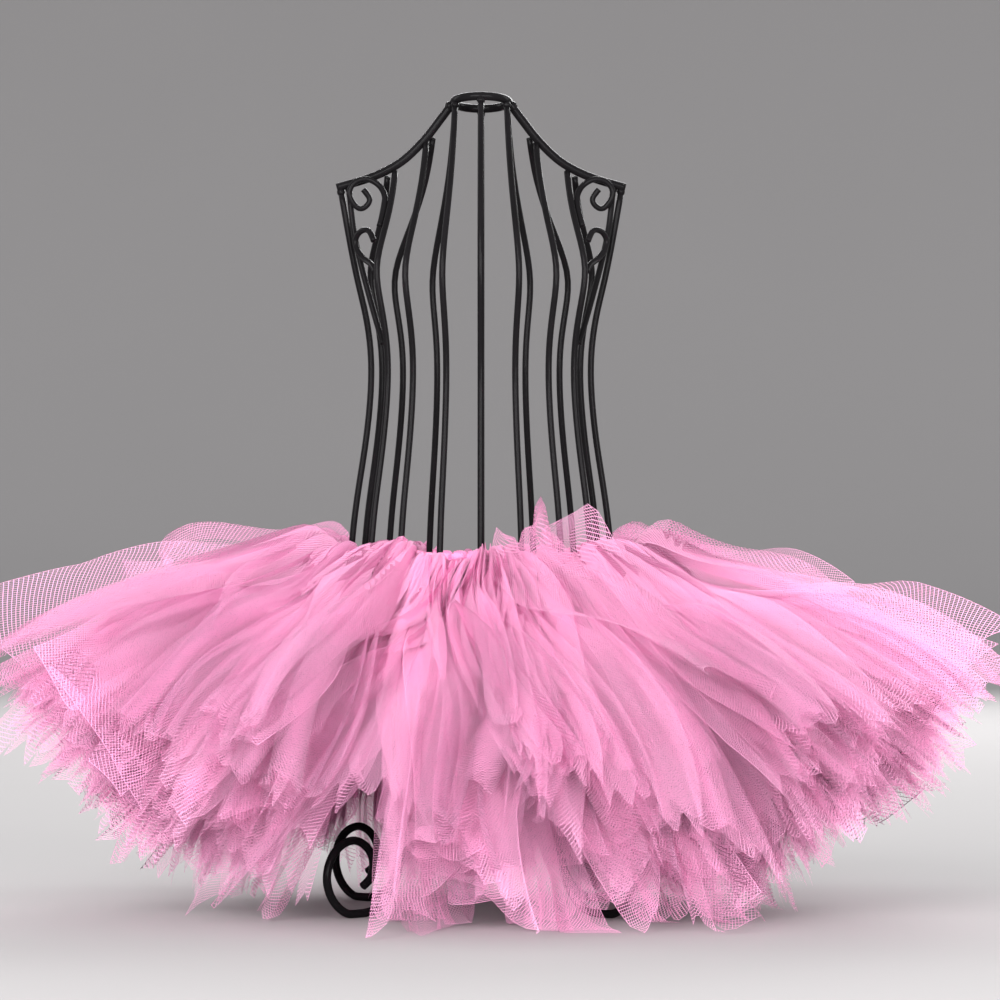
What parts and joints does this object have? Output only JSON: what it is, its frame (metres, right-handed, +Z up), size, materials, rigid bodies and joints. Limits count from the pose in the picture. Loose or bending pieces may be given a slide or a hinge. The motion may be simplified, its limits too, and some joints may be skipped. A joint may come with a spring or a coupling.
{
  "type": "ballet tutu on a wire dress form",
  "caption": "Small tutu of net strips knotted round a waist elastic, resting on a welded wire tabletop dress form with scrolled armholes and feet.",
  "frame": {"origin": "on the table, under the middle of the dress form", "axes": "+Z up, the front of the tutu and form faces -Y, +X to the right as seen from the front"},
  "size_m": [0.4995, 0.4024, 0.383],
  "materials": {
    "wire_enamel": "gloss black enamel on welded wire",
    "elastic": "knitted waist elastic",
    "net": "soft hexagonal net, see-through in one layer"
  },
  "bodies": {
    "root": {"armhole_left": "wire_enamel", "armhole_right": "wire_enamel", "base_ring": "wire_enamel", "foot_back_left": "wire_enamel", "foot_back_right": "wire_enamel", "foot_front_left": "wire_enamel", "foot_front_right": "wire_enamel", "neck_ring": "wire_enamel", "rib_back_centre": "wire_enamel", "rib_back_inner_left": "wire_enamel", "rib_back_inner_right": "wire_enamel", "rib_back_neck_left": "wire_enamel", "rib_back_neck_right": "wire_enamel", "rib_back_outer_left": "wire_enamel", "rib_back_outer_right": "wire_enamel", "rib_front_centre": "wire_enamel", "rib_front_inner_left": "wire_enamel", "rib_front_inner_right": "wire_enamel", "rib_front_neck_left": "wire_enamel", "rib_front_neck_right": "wire_enamel", "rib_front_outer_left": "wire_enamel", "rib_front_outer_right": "wire_enamel", "rib_side_left": "wire_enamel", "rib_side_right": "wire_enamel", "scroll_lower_left": "wire_enamel", "scroll_lower_right": "wire_enamel", "scroll_upper_left": "wire_enamel", "scroll_upper_right": "wire_enamel", "shoulder_left": "wire_enamel", "shoulder_right": "wire_enamel", "waist_elastic": "elastic", "strip_upper_1": "net", "strip_upper_2": "net", "strip_upper_3": "net", "strip_upper_4": "net", "strip_upper_5": "net", "strip_upper_6": "net", "strip_upper_7": "net", "strip_upper_8": "net", "strip_upper_9": "net", "strip_middle_1": "net", "strip_middle_2": "net", "strip_middle_3": "net", "strip_middle_4": "net", "strip_middle_5": "net", "strip_middle_6": "net", "strip_middle_7": "net", "strip_middle_8": "net", "strip_middle_9": "net", "strip_lower_1": "net", "strip_lower_2": "net", "strip_lower_3": "net", "strip_lower_4": "net", "strip_lower_5": "net", "strip_lower_6": "net", "strip_lower_7": "net", "strip_lower_8": "net", "strip_lower_9": "net"}
  },
  "joints": []
}
